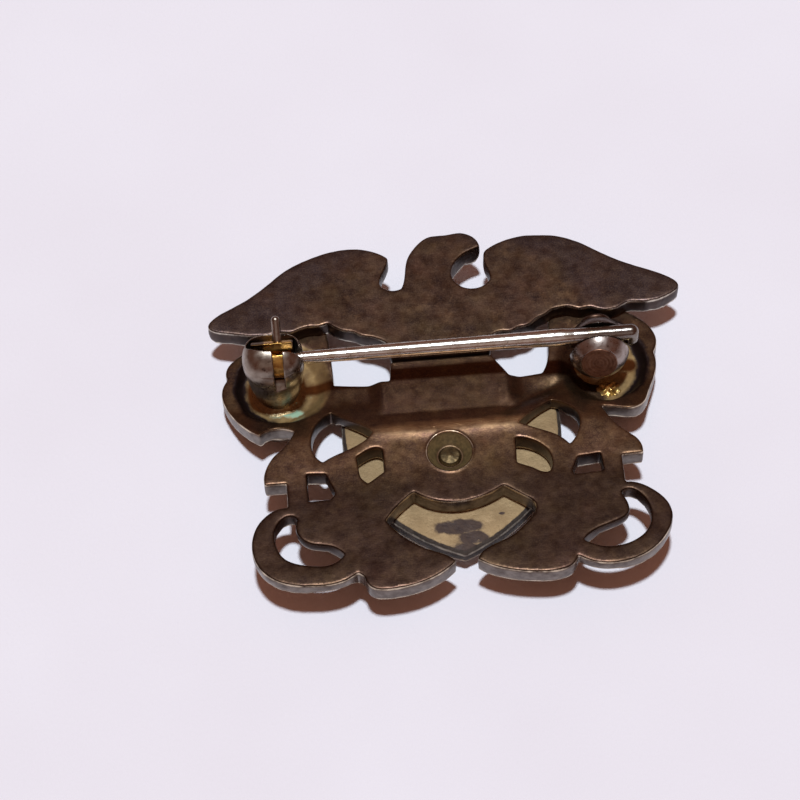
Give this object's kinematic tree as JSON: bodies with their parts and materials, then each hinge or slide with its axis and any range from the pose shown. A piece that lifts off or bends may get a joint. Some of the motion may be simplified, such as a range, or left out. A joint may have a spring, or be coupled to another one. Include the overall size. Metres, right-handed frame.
{
  "type": "cap badge",
  "caption": "Bimetal cap badge: an eagle over a shield on crossed anchors, with a hinged pin stem and a turning safety catch on its back.",
  "frame": {"origin": "under the middle of the whole badge's bounding box, on the surface that it lies on front side down", "axes": "+X along the wingspan, from the catch to the pin's joint; +Y towards the eagle's head; +Z out of the back, where the pin is"},
  "size_m": [0.0406, 0.0348, 0.0095],
  "materials": {
    "silver": "sterling silver with dark brown tarnish and bright worn edges",
    "gold_filled": "gold-filled silver, tarnished brown and olive, worn bright on edges",
    "finding_silver": "polished, lightly tarnished",
    "finding_gold": "polished gold wash",
    "solder": "uneven cast solder with traces of verdigris"
  },
  "bodies": {
    "badge": {"eagle": "silver", "anchors_plate": "gold_filled", "shield": "silver", "centre_rivet": "gold_filled", "joint_ball": "finding_silver", "joint_rivet": "finding_silver", "catch_housing": "finding_silver", "solder_fillets": "solder"},
    "pin": {"pin_stem": "finding_silver"},
    "sleeve": {"catch_sleeve": "finding_gold", "catch_lever": "finding_silver"}
  },
  "joints": [
    {"name": "pin_swing", "type": "hinge", "parent": "badge", "child": "pin", "pos_m": [0.0125, 0.00355, 0.0059], "axis": [0, 1, 0], "range_deg": [0, 75]},
    {"name": "sleeve_turn", "type": "hinge", "parent": "badge", "child": "sleeve", "pos_m": [-0.01473, 0.00355, 0.0069], "axis": [1, 0, 0], "range_deg": [0, 115]}
  ]
}
